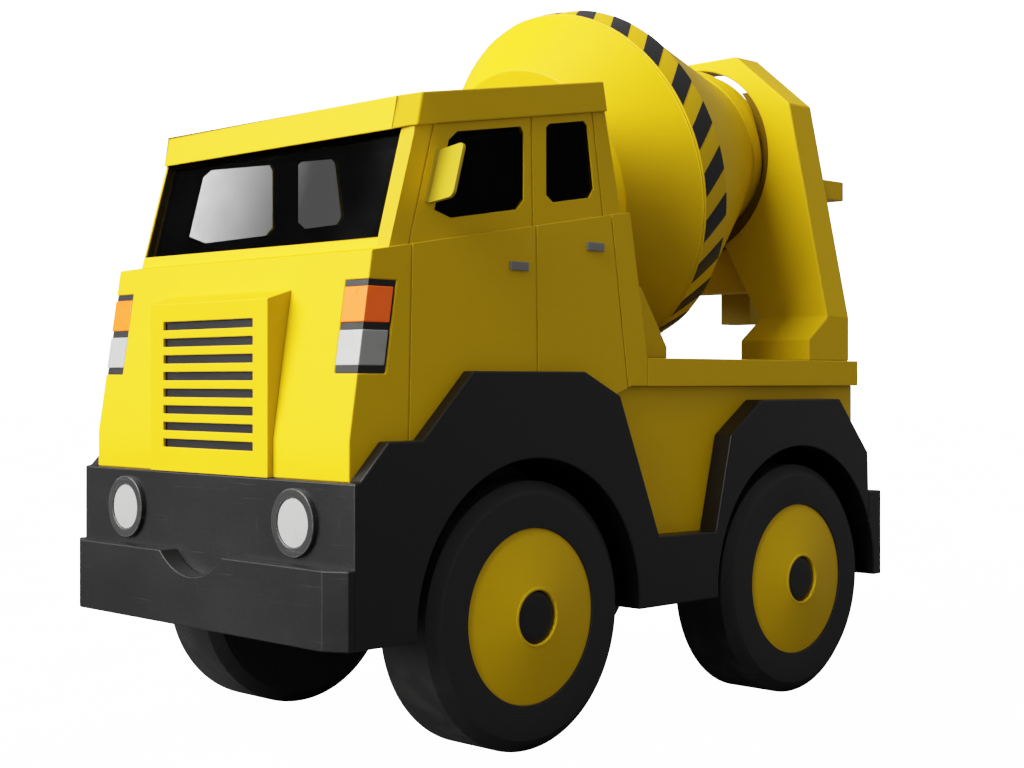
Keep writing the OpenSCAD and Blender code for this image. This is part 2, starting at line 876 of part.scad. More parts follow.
chassis();
fender_shell();
front_bumper();
rear_bumper();
load_tub();
load_bed();
cab_shell();
cab_roof();
cab_liner();
windshield();
side_glass();
left_mirror();
right_mirror();
door_handles();
grille_surround();
grille_insert();
lamp_housings();
turn_lenses();
marker_lenses();
headlight_bezels();
headlight_lenses();
drum_pedestal();
drum_shell();
hazard_stripes();
drum_pivot_pin();
rear_frame();
neck_saddle();
rear_guard();
chute_pin();
chute();
front_axle();
rear_axle();
front_left_tyre();
front_right_tyre();
rear_left_tyre();
rear_right_tyre();
front_left_hub();
front_right_hub();
rear_left_hub();
rear_right_hub();
front_left_cap();
front_right_cap();
rear_left_cap();
rear_right_cap();
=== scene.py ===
import math

import bmesh
import bpy
from mathutils import Matrix, Vector


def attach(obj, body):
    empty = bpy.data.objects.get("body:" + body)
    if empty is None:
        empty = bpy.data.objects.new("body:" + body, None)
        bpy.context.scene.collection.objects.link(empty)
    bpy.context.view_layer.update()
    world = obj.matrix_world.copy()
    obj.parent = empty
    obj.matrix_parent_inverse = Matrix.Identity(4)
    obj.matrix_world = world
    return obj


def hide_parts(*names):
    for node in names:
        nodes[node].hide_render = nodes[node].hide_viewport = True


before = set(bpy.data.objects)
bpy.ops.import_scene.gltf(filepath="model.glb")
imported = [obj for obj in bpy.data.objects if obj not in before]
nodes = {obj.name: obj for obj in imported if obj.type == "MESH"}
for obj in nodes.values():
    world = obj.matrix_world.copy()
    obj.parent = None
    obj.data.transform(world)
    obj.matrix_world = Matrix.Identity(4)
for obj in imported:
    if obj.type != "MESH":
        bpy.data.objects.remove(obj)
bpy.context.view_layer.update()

MM = 0.001
MID_STATION = 143.5


def station(x, y, z):
    """A point in millimetres, y measured back from the front bumper corners, as metres in the row frame."""
    return Vector((x * MM, (y - MID_STATION) * MM, z * MM))


# ------------------------------------------------------------------ materials


class Net:
    """A material's node tree, with short calls that add and join nodes."""

    def __init__(self, name):
        self.material = bpy.data.materials.new(name)
        self.material.use_nodes = True
        self.tree = self.material.node_tree
        self.tree.nodes.clear()
        self.coords = None

    def add(self, kind, inputs=None, **settings):
        node = self.tree.nodes.new("ShaderNode" + kind)
        for key, value in settings.items():
            setattr(node, key, value)
        for key, value in (inputs or {}).items():
            self.put(node.inputs[key], value)
        return node

    def put(self, socket, value):
        if isinstance(value, bpy.types.NodeSocket):
            self.tree.links.new(value, socket)
        else:
            socket.default_value = value

    def maths(self, operation, a, b=0.0, clamp=False):
        node = self.add("Math", operation=operation, use_clamp=clamp)
        self.put(node.inputs[0], a)
        self.put(node.inputs[1], b)
        return node.outputs[0]

    def place(self):
        if self.coords is None:
            self.coords = self.add("TexCoord").outputs["Object"]
        return self.coords

    def noise(self, scale, detail=2.0, stretch=None, turn=(0, 0, 0)):
        where = self.place()
        if stretch:
            where = self.add(
                "Mapping", {"Vector": where, "Scale": stretch, "Rotation": turn}
            ).outputs[0]
        node = self.add("TexNoise", {"Vector": where, "Scale": scale, "Detail": detail})
        return node.outputs["Fac"]

    def span(self, value, low, high, to_low=0.0, to_high=1.0):
        node = self.add("MapRange", clamp=True)
        settings = {"Value": value, "From Min": low, "From Max": high, "To Min": to_low, "To Max": to_high}
        for key, v in settings.items():
            self.put(node.inputs[key], v)
        return node.outputs[0]

    def blend(self, share, a, b):
        node = self.add("Mix", data_type="RGBA")
        self.put(node.inputs[0], share)
        self.put(node.inputs[6], a)
        self.put(node.inputs[7], b)
        return node.outputs[2]

    def edges(self, radius, low=0.015, high=0.22):
        """1 along convex and concave edges within radius, 0 on flat ground."""
        rounded = self.add("Bevel", {"Radius": radius}, samples=4).outputs[0]
        plain = self.add("NewGeometry").outputs["Normal"]
        dot = self.add("VectorMath", operation="DOT_PRODUCT")
        self.put(dot.inputs[0], rounded)
        self.put(dot.inputs[1], plain)
        return self.span(self.maths("SUBTRACT", 1.0, dot.outputs["Value"]), low, high)

    def finish(self, shader):
        out = self.add("OutputMaterial")
        self.tree.links.new(shader, out.inputs["Surface"])
        return self.material


def rgb(r, g, b):
    return (r, g, b, 1.0)


def scaled(colour, k):
    return tuple(min(1.0, c * k) for c in colour[:3]) + (1.0,)


def moulded(name, colour, rough, spec, worn, wear=0.35, mottle=0.04, peel=0.10, rings=False, bounce=None):
    """Injection moulded plastic: flow marks, orange peel, fine grain, hairline scratches and rubbed edges.
    Light that reaches another surface by way of this one is tinted with the bounce colour."""
    net = Net(name)
    clouds = net.noise(24.0, 3.0)
    flow = net.noise(9.0, 2.0, stretch=(1.0, 1.0, 3.5))
    orange_peel = net.noise(420.0, 2.0)
    grain = net.noise(2600.0, 2.0)
    scratch_a = net.span(net.noise(70.0, 4.0, stretch=(0.5, 1.0, 26.0), turn=(0.5, 0.2, 0.0)), 0.66, 0.74)
    scratch_b = net.span(net.noise(60.0, 4.0, stretch=(24.0, 0.6, 1.0), turn=(0.1, 0.3, 0.7)), 0.68, 0.75)
    scratches = net.maths("MAXIMUM", scratch_a, scratch_b)
    rubbed = net.maths("MULTIPLY", net.edges(0.0007), net.span(net.noise(300.0, 3.0), 0.36, 0.66), clamp=True)

    tone = net.maths("ADD", net.maths("MULTIPLY", clouds, 0.6), net.maths("MULTIPLY", flow, 0.4))
    base = net.blend(net.span(tone, 0.3, 0.7), scaled(colour, 1.0 - mottle), scaled(colour, 1.0 + mottle))
    base = net.blend(net.span(grain, 0.3, 0.7, 0.0, 0.10), base, scaled(colour, 0.82))
    base = net.blend(net.maths("MULTIPLY", rubbed, wear), base, worn)
    base = net.blend(net.maths("MULTIPLY", scratches, 0.10), base, worn)

    roughness = net.span(tone, 0.3, 0.7, rough - 0.05, rough + 0.05)
    roughness = net.maths("ADD", roughness, net.maths("MULTIPLY", scratches, 0.12))
    roughness = net.maths("ADD", roughness, net.maths("MULTIPLY", rubbed, 0.10), clamp=True)

    height = net.maths("ADD", net.maths("MULTIPLY", orange_peel, 0.75), net.maths("MULTIPLY", grain, 0.25))
    height = net.maths("SUBTRACT", height, net.maths("MULTIPLY", scratches, 0.5))
    if rings:
        radius = net.add("Attribute", attribute_name="lathe_r").outputs["Fac"]
        turned = net.maths("SINE", net.maths("MULTIPLY", radius, 2.0 * math.pi / 0.0009))
        height = net.maths("ADD", height, net.maths("MULTIPLY", turned, 0.22))
    bump = net.add("Bump", {"Strength": peel, "Distance": 0.0004, "Height": height}).outputs[0]

    base = net.blend(net.add("LightPath").outputs["Is Diffuse Ray"], base, bounce or colour)
    inputs = {"Base Color": base, "Roughness": roughness, "Specular IOR Level": spec, "Normal": bump}
    return net.finish(net.add("BsdfPrincipled", inputs).outputs[0])


def rubber(name, colour):
    """Tyre rubber: fine even grain, concentric mould marks, pale dust near the ground and worn shoulders."""
    net = Net(name)
    grain = net.noise(3000.0, 3.0)
    pores = net.noise(700.0, 2.0)
    clouds = net.noise(30.0, 3.0)
    radius = net.add("Attribute", attribute_name="lathe_r").outputs["Fac"]
    turned = net.maths("SINE", net.maths("MULTIPLY", radius, 2.0 * math.pi / 0.0011))
    shoulder = net.span(radius, 0.0395, 0.044)
    dust = net.maths("MULTIPLY", shoulder, net.span(net.noise(120.0, 4.0), 0.42, 0.72))
    base = net.blend(net.span(clouds, 0.3, 0.7), scaled(colour, 0.86), scaled(colour, 1.16))
    base = net.blend(net.maths("MULTIPLY", dust, 0.18), base, rgb(0.05, 0.046, 0.04))
    base = net.blend(net.maths("MULTIPLY", net.edges(0.0009), 0.22), base, rgb(0.045, 0.045, 0.046))
    roughness = net.span(clouds, 0.3, 0.7, 0.56, 0.68)
    roughness = net.maths("ADD", roughness, net.maths("MULTIPLY", dust, 0.15), clamp=True)
    height = net.maths("ADD", net.maths("MULTIPLY", grain, 0.4), net.maths("MULTIPLY", pores, 0.4))
    height = net.maths("ADD", height, net.maths("MULTIPLY", turned, 0.16))
    bump = net.add("Bump", {"Strength": 0.16, "Distance": 0.0004, "Height": height}).outputs[0]
    inputs = {"Base Color": base, "Roughness": roughness, "Specular IOR Level": 0.44, "Normal": bump}
    return net.finish(net.add("BsdfPrincipled", inputs).outputs[0])


def metal(name, colour, rough):
    """Drawn steel: fine lengthwise lines, slight tarnish."""
    net = Net(name)
    lines = net.noise(30.0, 3.0, stretch=(0.4, 60.0, 60.0))
    tarnish = net.noise(140.0, 4.0)
    base = net.blend(net.span(tarnish, 0.4, 0.75, 0.0, 0.6), colour, scaled(colour, 0.55))
    roughness = net.span(lines, 0.3, 0.7, rough - 0.08, rough + 0.12)
    roughness = net.maths("ADD", roughness, net.span(tarnish, 0.4, 0.75, 0.0, 0.15))
    bump = net.add("Bump", {"Strength": 0.12, "Distance": 0.0002, "Height": lines}).outputs[0]
    inputs = {"Base Color": base, "Metallic": 1.0, "Roughness": roughness, "Normal": bump}
    return net.finish(net.add("BsdfPrincipled", inputs).outputs[0])


def glazing(name, clear_front, clear_rear, front_y, rear_y, face_axis):
    """Smoked window plastic, clear at the front of the cab, darker to the rear, with sheen and smudges.
    The sides of the pane, which don't face along face_axis, are blacked out."""
    net = Net(name)
    split = net.add("SeparateXYZ", {"Vector": net.place()})
    along = net.maths("ADD", split.outputs["Y"], net.maths("MULTIPLY", split.outputs["Z"], -0.35))
    fade = net.span(along, front_y, rear_y)
    smudge = net.span(net.noise(55.0, 4.0), 0.35, 0.75)
    tint = net.blend(fade, clear_front, clear_rear)
    tint = net.blend(net.maths("MULTIPLY", smudge, 0.08), tint, clear_rear)
    normal = net.add("NewGeometry").outputs["True Normal"]
    facing = net.add("SeparateXYZ", {"Vector": normal}).outputs[face_axis]
    rim = net.maths("LESS_THAN", net.maths("ABSOLUTE", facing), 0.9)
    tint = net.blend(rim, tint, rgb(0.0, 0.0, 0.0))
    through = net.add("BsdfTransparent", {"Color": tint}).outputs[0]
    waves = net.noise(90.0, 2.0)
    bump = net.add("Bump", {"Strength": 0.03, "Distance": 0.0005, "Height": waves}).outputs[0]
    sheen = net.add(
        "BsdfPrincipled",
        {
            "Base Color": rgb(0.0, 0.0, 0.0), "Roughness": net.span(smudge, 0.0, 1.0, 0.08, 0.18),
            "Specular IOR Level": 0.12, "Normal": bump,
        },
    ).outputs[0]
    mix = net.add("MixShader")
    net.put(mix.inputs[0], 0.16)
    net.put(mix.inputs[1], through)
    net.put(mix.inputs[2], sheen)
    return net.finish(mix.outputs[0])


def lens(name, colour, painted_light_colour, painted_light_strength):
    """A moulded lamp lens: fine vertical flutes, faint clouding, painted light from emission, as the toy's
    lens is not lit, and a glossy skin.
    """
    net = Net(name)
    clouds = net.noise(60.0, 2.0)
    grain = net.noise(1800.0, 2.0)
    base = net.blend(net.span(clouds, 0.3, 0.7), scaled(colour, 0.97), scaled(colour, 1.03))
    base = net.blend(net.span(grain, 0.3, 0.7, 0.0, 0.06), base, scaled(colour, 0.85))
    split = net.add("SeparateXYZ", {"Vector": net.place()})
    flutes = net.maths("SINE", net.maths("MULTIPLY", split.outputs["X"], 2.0 * math.pi / 0.0012))
    height = net.maths("ADD", net.maths("MULTIPLY", flutes, 0.3), net.maths("MULTIPLY", grain, 0.2))
    bump = net.add("Bump", {"Strength": 0.04, "Distance": 0.0002, "Height": height}).outputs[0]
    roughness = net.span(clouds, 0.3, 0.7, 0.24, 0.32)
    inputs = {
        "Base Color": base, "Roughness": roughness, "Specular IOR Level": 0.3, "Normal": bump,
        # painted light: emission that makes the lens look lit
        "Emission Color": painted_light_colour, "Emission Strength": painted_light_strength,
    }
    return net.finish(net.add("BsdfPrincipled", inputs).outputs[0])


YELLOW = rgb(0.80, 0.475, 0.003)
PALE_YELLOW = rgb(0.93, 0.66, 0.10)
SOFT_BOUNCE = rgb(0.42, 0.33, 0.09)
BLACK = rgb(0.0016, 0.0016, 0.0016)
PALE_BLACK = rgb(0.03, 0.03, 0.031)
SHADED_YELLOW = rgb(0.16, 0.085, 0.002)
# Painted shade: a darker copy of the yellow for the chute, which hangs in the shadow under the rear arch.
CHUTE_SHADED_YELLOW = rgb(0.42, 0.26, 0.004)
# Painted shade: the mirrors get a dimmer copy of the yellow, so their lit faces look darker and throw less
# light onto the cab side.
MIRROR_SHADED_YELLOW = rgb(0.42, 0.30, 0.012)
CLEAR = rgb(0.88, 0.88, 0.88)
SMOKED = rgb(0.21, 0.21, 0.21)
FADE = (-0.171, -0.117)


def yellow(name, colour=YELLOW, rings=False):
    return moulded(
        name, colour, 0.44, 0.09, PALE_YELLOW, wear=0.40, mottle=0.03, rings=rings, bounce=SOFT_BOUNCE
    )


def black(name, rings=False):
    return moulded(name, BLACK, 0.38, 0.36, PALE_BLACK, wear=0.25, mottle=0.10, peel=0.12, rings=rings)


def grey(name, colour):
    return moulded(name, colour, 0.30, 0.5, rgb(0.35, 0.35, 0.35), wear=0.6, mottle=0.08)


MATERIALS = {
    "yellow_plastic": yellow("yellow_plastic_moulded"),
    "black_plastic": black("black_plastic_moulded"),
    "interior_black": moulded(
        "interior_black_moulded", rgb(0.0006, 0.0006, 0.0006), 0.8, 0.01, rgb(0.001, 0.001, 0.001), wear=0.2
    ),
    "grey_plastic": grey("grey_plastic_moulded", rgb(0.022, 0.022, 0.022)),
    "stripe_film": moulded(
        "stripe_film_printed", rgb(0.007, 0.007, 0.007), 0.42, 0.3, rgb(0.06, 0.055, 0.03),
        wear=0.2, mottle=0.12,
    ),
    "tyre_rubber": rubber("tyre_rubber_grained", rgb(0.0050, 0.0050, 0.0050)),
    "steel": metal("steel_drawn", rgb(0.62, 0.62, 0.64), 0.3),
    "tinted_glazing": glazing("side_glazing_smoked", CLEAR, SMOKED, FADE[0], FADE[1], "X"),
    # Painted light: the orange lens emits a little light so it looks brighter than its colour allows; it is
    # no lamp.
    "orange_lens": lens("orange_lens_cast_painted_light", rgb(1.0, 0.18, 0.007), rgb(1.0, 0.02, 0.0), 0.24),
    "white_lens": lens("white_lens_cast", rgb(0.375, 0.375, 0.37), rgb(1.0, 1.0, 1.0), 0.0),
    "headlight_lens": lens("headlight_lens_cast", rgb(0.335, 0.335, 0.33), rgb(1.0, 1.0, 1.0), 0.0),
}
TURNED = {
    "yellow_plastic": yellow("yellow_plastic_turned", rings=True),
    "black_plastic": black("black_plastic_turned", rings=True),
}
SPECIAL = {
    "windshield": glazing("front_glazing_smoked", CLEAR, SMOKED, FADE[0], FADE[1], "Y"),
    "neck_saddle": yellow("yellow_plastic_in_shade", SHADED_YELLOW),
    # painted shade: the chute gets a darkened yellow for the shadow under the arch
    "chute": yellow("yellow_plastic_chute_painted_shade", CHUTE_SHADED_YELLOW),
    "door_handles": grey("grey_plastic_handles", rgb(0.20, 0.20, 0.20)),
}
# Painted shade: the mirrors' plastic is the body yellow dimmed.
MIRROR_SHADED_PLASTIC = yellow("yellow_plastic_mirror", MIRROR_SHADED_YELLOW)


# ------------------------------------------------------------------ shapes


def sharpen(mesh, angle=32.0):
    for polygon in mesh.polygons:
        polygon.use_smooth = True
    mesh.set_sharp_from_angle(angle=math.radians(angle))


def weigh_normals(piece):
    weighted = piece.modifiers.new("even_normals", "WEIGHTED_NORMAL")
    weighted.keep_sharp = True
    weighted.weight = 100


FLAT = math.radians(0.8)


def soften(name, width, segments=3):
    """Rounds a CAD node's moulded edges. The node's own mesh isn't touched."""
    piece = nodes[name]
    weld = piece.modifiers.new("join", "WELD")
    weld.merge_threshold = 2.5e-5
    bevel = piece.modifiers.new("moulded_edges", "BEVEL")
    bevel.width = width
    bevel.segments = segments
    bevel.limit_method = "ANGLE"
    bevel.angle_limit = math.radians(22)
    bevel.use_clamp_overlap = False
    bevel.loop_slide = False
    bevel.miter_outer = "MITER_ARC"
    flats = piece.modifiers.new("whole_flats", "DECIMATE")
    flats.decimate_type = "DISSOLVE"
    flats.angle_limit = FLAT
    weigh_normals(piece)


def finish_piece(piece, body, slot, material, *stands_for):
    piece.data.materials.clear()
    piece.data.materials.append(material)
    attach(piece, body)
    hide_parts(*stands_for)
    return piece


def new_piece(name, mesh_maker):
    mesh = bpy.data.meshes.new(name)
    bm = bmesh.new()
    mesh_maker(bm)
    bmesh.ops.recalc_face_normals(bm, faces=bm.faces)
    bm.to_mesh(mesh)
    bm.free()
    piece = bpy.data.objects.new(name, mesh)
    bpy.context.scene.collection.objects.link(piece)
    sharpen(mesh)
    return piece


def fillet(outline, radii, steps=5, closed=True):
    """A profile with each corner rounded to the radius given for it, 0 for a corner left alone."""
    points = []
    count = len(outline)
    for i, (corner, radius) in enumerate(zip(outline, radii)):
        here = Vector(corner)
        if radius <= 0 or (not closed and i in (0, count - 1)):
            points.append(here)
            continue
        back = (Vector(outline[i - 1]) - here)
        on = (Vector(outline[(i + 1) % count]) - here)
        room = min(back.length, on.length) * 0.48
        back.normalize()
        on.normalize()
        half = back.angle(on) / 2
        reach = min(radius / math.tan(half), room)
        true_radius = reach * math.tan(half)
        middle = here + (back + on).normalized() * (true_radius / math.sin(half))
        start, end = here + back * reach, here + on * reach
        for k in range(steps + 1):
            t = k / steps
            arm = (start - middle).normalized().slerp((end - middle).normalized(), t)
            points.append(middle + arm * true_radius)
    return points


def lathe(name, outline, radii, centre, axis, segments=128, side=None, detail=5):
    """Turns a closed (radius, height) profile in millimetres about an axis. Radius 0 gives one point."""
    profile = fillet(outline, radii, detail)
    axis = Vector(axis).normalized()
    first = side or (Vector((1, 0, 0)) if abs(axis.x) < 0.5 else Vector((0, 1, 0)))
    first = (first - axis * first.dot(axis)).normalized()
    second = axis.cross(first)
    centre = Vector(centre)

    def make(bm):
        rings = []
        for r, h in profile:
            foot = centre + axis * (h * MM)
            if r <= 1e-6:
                rings.append([bm.verts.new(foot)])
                continue
            ring = []
            for k in range(segments):
                a = 2 * math.pi * k / segments
                ring.append(bm.verts.new(foot + (first * math.cos(a) + second * math.sin(a)) * (r * MM)))
            rings.append(ring)
        for a, b in zip(rings, rings[1:] + rings[:1]):
            if len(a) == 1 and len(b) == 1:
                continue
            for k in range(segments):
                n = (k + 1) % segments
                if len(a) == 1:
                    bm.faces.new((a[0], b[k], b[n]))
                elif len(b) == 1:
                    bm.faces.new((a[k], b[0], a[n]))
                else:
                    bm.faces.new((a[k], b[k], b[n], a[n]))

    piece = new_piece(name, make)
    lathe_r = piece.data.attributes.new("lathe_r", "FLOAT", "POINT")
    values = []
    for v in piece.data.vertices:
        out = v.co - centre
        values.append((out - axis * out.dot(axis)).length)
    lathe_r.data.foreach_set("value", values)
    return piece


def copied(node, name):
    """A new piece with a CAD node's shape, welded, ready to be worked on."""
    bm = bmesh.new()
    bm.from_mesh(nodes[node].data)
    bmesh.ops.remove_doubles(bm, verts=bm.verts, dist=5e-6)
    mesh = bpy.data.meshes.new(name)
    bm.to_mesh(mesh)
    bm.free()
    piece = bpy.data.objects.new(name, mesh)
    bpy.context.scene.collection.objects.link(piece)
    return piece


def round_edges(piece, width, segments=3, angle=22.0, fine=0.0, thin=0.0):
    """Rounds a piece's corners in its mesh. Corners of faces narrower than thin get the fine width."""
    mesh = piece.data
    for pass_width, wants_thin in ((width, False), (fine, True)):
        if pass_width <= 0:
            continue
        bm = bmesh.new()
        bm.from_mesh(mesh)
        bm.normal_update()
        chosen = []
        for e in bm.edges:
            if len(e.link_faces) != 2 or e.calc_face_angle(0.0) < math.radians(angle):
                continue
            narrow = min(2 * f.calc_area() / max(f.calc_perimeter(), 1e-9) for f in e.link_faces)
            is_thin = narrow < thin
            if is_thin == wants_thin:
                chosen.append(e)
        bmesh.ops.bevel(
            bm, geom=chosen, offset=pass_width, offset_type="OFFSET", segments=segments, profile=0.5,
            affect="EDGES", clamp_overlap=False, miter_outer="ARC", loop_slide=False,
        )
        bm.to_mesh(mesh)
        bm.free()
        if fine <= 0:
            break
    bm = bmesh.new()
    bm.from_mesh(mesh)
    bmesh.ops.dissolve_limit(bm, angle_limit=FLAT, verts=bm.verts, edges=bm.edges)
    bm.to_mesh(mesh)
    bm.free()
    sharpen(mesh)
    weigh_normals(piece)
    return piece


# ------------------------------------------------------------------ wheels

AXLE_Z = 44.0
AXLES = {"front": 77.9, "rear": 224.3}
TYRE = [
    (8.0, 45.6), (39.9, 45.6), (44.0, 48.9), (44.0, 70.2), (39.9, 73.5), (28.7, 73.5),
    (28.7, 48.6), (8.0, 48.6),
]
TYRE_R = [0.3, 0.6, 0.5, 0.5, 0.45, 0.3, 0.3, 0.3]
HUB = [
    (2.5, 45.3), (8.0, 45.3), (8.0, 69.8), (25.5, 69.8), (25.5, 48.6), (28.7, 48.6),
    (28.7, 72.8), (9.9, 75.6), (9.5, 75.9), (8.8, 75.9), (8.8, 71.0), (2.5, 71.0),
]
HUB_R = [0.2, 0.4, 0.6, 0.6, 0.3, 0.3, 0.2, 0.2, 0.12, 0.1, 0, 0]
CAP = [(0, 71.0), (8.75, 71.0), (8.75, 74.5), (7.9, 75.1), (6.6, 75.3), (0, 75.35)]
CAP_R = [0, 0, 0.3, 0.5, 1.2, 0]

for end, y in AXLES.items():
    for side, sign in (("left", 1), ("right", -1)):
        corner = f"{end}_{side}"
        body = f"{end}_wheels"
        hub_centre = station(0, y, AXLE_Z)
        out = Vector((sign, 0, 0))
        tyre = lathe(f"tyre_{corner}", TYRE, TYRE_R, hub_centre, out, 144)
        finish_piece(tyre, body, "tyre_rubber", MATERIALS["tyre_rubber"], f"{corner}_tyre")
        hub = lathe(f"wheel_disc_{corner}", HUB, HUB_R, hub_centre, out, 128)
        finish_piece(hub, body, "yellow_plastic", TURNED["yellow_plastic"], f"{corner}_hub")
        cap = lathe(f"wheel_cap_{corner}", CAP, CAP_R, hub_centre, out, 96)
        finish_piece(cap, body, "black_plastic", TURNED["black_plastic"], f"{corner}_cap")


# ------------------------------------------------------------------ drum

DRUM_TILT = math.radians(14.7)
DRUM_AXIS = Vector((0, math.cos(DRUM_TILT), math.sin(DRUM_TILT)))
DRUM_UP = Vector((0, -math.sin(DRUM_TILT), math.cos(DRUM_TILT)))
DRUM_CENTRE = station(0, 173.5, 197.3)
BAND_R = 67.3
BAND = (0.6, 13.1)
DRUM = [
    (3.0, -23.5), (10.5, -23.5), (11.0, -23.9), (12.5, -23.9), (13.0, -23.5), (49.0, -23.5),
    (66.4, -0.35), (66.7, -0.35), (66.7, 0.2), (67.3, 0.5),
    (67.3, 13.0), (66.8, 13.4), (35.2, 75.0), (36.0, 75.2), (36.0, 80.7), (33.0, 80.7),
    (33.0, 88.4), (30.0, 88.4), (30.0, 75.0), (64.3, 13.1), (64.3, 0.6), (47.5, -20.5),
    (8.0, -20.5), (8.0, -8.0),
    (3.0, -8.0),
]
DRUM_R = [
    0, 0.3, 0.3, 0.3, 0.3, 1.4, 0.25, 0.1, 0.1, 0.25, 0.3, 0.3, 0.5, 0.3, 0.5, 0.4,
    0.6, 0.6, 1.5, 2, 2, 2, 1.5, 0.8, 0.3,
]
drum = lathe("drum_body", DRUM, DRUM_R, DRUM_CENTRE, DRUM_AXIS, 192)
finish_piece(drum, "drum", "yellow_plastic", MATERIALS["yellow_plastic"], "drum_shell")

STRIPES = 24
STRIPE_WIDTH = math.radians(7.5)
STRIPE_REAR = math.radians(3.0)
STRIPE_FRONT = math.radians(-4.5)
STRIPE_T = 0.22


def stripe_film(bm):
    """Slanted bars laid round the band: each is a thin closed slab with small turned-down edges."""
    across_n, along_n = 8, 6
    for i in range(STRIPES):
        turn = 2 * math.pi * i / STRIPES
        top = [[None] * (along_n + 1) for _ in range(across_n + 1)]
        foot = [[None] * (along_n + 1) for _ in range(across_n + 1)]
        for a in range(across_n + 1):
            for b in range(along_n + 1):
                share = b / along_n
                s = BAND[0] + 0.15 + (BAND[1] - BAND[0] - 0.3) * share
                slant = STRIPE_FRONT + (STRIPE_REAR - STRIPE_FRONT) * share
                angle = turn + slant + STRIPE_WIDTH * (a / across_n - 0.5)
                edge = a in (0, across_n) or b in (0, along_n)
                for grid, r in ((top, BAND_R + STRIPE_T - (0.08 if edge else 0)), (foot, BAND_R - 0.25)):
                    out = Vector((math.cos(angle), 0, 0)) + DRUM_UP * math.sin(angle)
                    grid[a][b] = bm.verts.new(DRUM_CENTRE + DRUM_AXIS * (s * MM) + out * (r * MM))
        for a in range(across_n):
            for b in range(along_n):
                bm.faces.new((top[a][b], top[a + 1][b], top[a + 1][b + 1], top[a][b + 1]))
                bm.faces.new((foot[a][b], foot[a][b + 1], foot[a + 1][b + 1], foot[a + 1][b]))
        rim = [(a, 0) for a in range(across_n)] + [(across_n, b) for b in range(along_n)]
        rim += [(a, along_n) for a in range(across_n, 0, -1)] + [(0, b) for b in range(along_n, 0, -1)]
        for (a, b), (c, d) in zip(rim, rim[1:] + rim[:1]):
            bm.faces.new((top[a][b], foot[a][b], foot[c][d], top[c][d]))


stripes = new_piece("drum_stripes", stripe_film)
finish_piece(stripes, "drum", "stripe_film", MATERIALS["stripe_film"], "hazard_stripes")


# ------------------------------------------------------------------ lamps

HEADLIGHT = (46.8, 77.4)
BEZEL = [(9.0, 6.3), (7.6, 5.3), (7.6, 1.05), (7.85, 0.8), (10.3, 0.8), (10.5, 1.0), (10.5, 2.3), (9.0, 2.3)]
BEZEL_R = [0.1, 0.1, 0.12, 0.12, 0.12, 0.12, 0.1, 0.1]
GLASS = [(0, 5.3), (7.6, 5.3), (7.6, 1.35), (7.45, 1.2), (0, 1.15)]
GLASS_R = [0, 0.1, 0.12, 0.12, 0]
bezel_parts = []
glass_parts = []
for sign in (1, -1):
    spot = station(sign * HEADLIGHT[0], 0, HEADLIGHT[1])
    bezel_parts.append(lathe(f"bezel_{sign}", BEZEL, BEZEL_R, spot, (0, 1, 0), 96))
    glass_parts.append(lathe(f"glass_{sign}", GLASS, GLASS_R, spot, (0, 1, 0), 96))


def joined(name, parts):
    bm = bmesh.new()
    for part in parts:
        bm.from_mesh(part.data)
    mesh = bpy.data.meshes.new(name)
    bm.to_mesh(mesh)
    bm.free()
    piece = bpy.data.objects.new(name, mesh)
    bpy.context.scene.collection.objects.link(piece)
    sharpen(mesh)
    for part in parts:
        bpy.data.objects.remove(part)
    return piece


headlight_rings = joined("headlight_rings", bezel_parts)
headlight_glasses = joined("headlight_glasses", glass_parts)
finish_piece(headlight_rings, "truck", "grey_plastic", MATERIALS["grey_plastic"], "headlight_bezels")
finish_piece(headlight_glasses, "truck", "white_lens", MATERIALS["headlight_lens"], "headlight_lenses")


# ------------------------------------------------------------------ mirrors

MIRROR_ROOT = (68.2, 36.7, 175.3)
MIRROR_TURN = Matrix.Rotation(math.radians(-15.9), 3, "X") @ Matrix.Rotation(math.radians(-11.7), 3, "Z")
MIRROR_T = 1.15
MIRROR_H = 17.6
PLATE = [(-0.2, 0.0), (14.6, 0.0), (14.6, MIRROR_H), (-0.2, MIRROR_H)]
PLATE_R = [0, 2.2, 2.2, 0]
FLANGE = [(-0.1, 0.0), (0.5, 0.0), (0.5, MIRROR_H), (-0.1, MIRROR_H)]
FLANGE_Y = (-1.5, 0.0)


def slab(bm, outline, depth, side):
    """A plate drawn in the mirror's own front view, in millimetres, and given a depth."""
    rings = []
    for y in depth:
        ring = []
        for x, z in outline:
            p = Vector(MIRROR_ROOT) + MIRROR_TURN @ Vector((x, y, z))
            ring.append(bm.verts.new(station(side * p.x, p.y, p.z)))
        rings.append(ring)
    near, far = rings
    bm.faces.new(near)
    bm.faces.new(far)
    for k in range(len(near)):
        n = (k + 1) % len(near)
        bm.faces.new((near[k], near[n], far[n], far[k]))


for name, side in (("left", 1), ("right", -1)):
    def mirror_shape(bm, side=side):
        slab(bm, fillet(PLATE, PLATE_R, 6), (0.0, MIRROR_T), side)
        slab(bm, fillet(FLANGE, [0, 0, 0, 0]), FLANGE_Y, side)

    mirror = round_edges(new_piece(f"mirror_{name}", mirror_shape), 0.00016, segments=2, angle=40.0)
    finish_piece(mirror, "truck", "yellow_plastic", MIRROR_SHADED_PLASTIC, f"{name}_mirror")


# ------------------------------------------------------------------ parts that keep the CAD shape

cab = round_edges(copied("cab_shell", "cab_body"), 0.00045, segments=3, fine=0.00012, thin=0.0012)
finish_piece(cab, "truck", "yellow_plastic", MATERIALS["yellow_plastic"], "cab_shell")

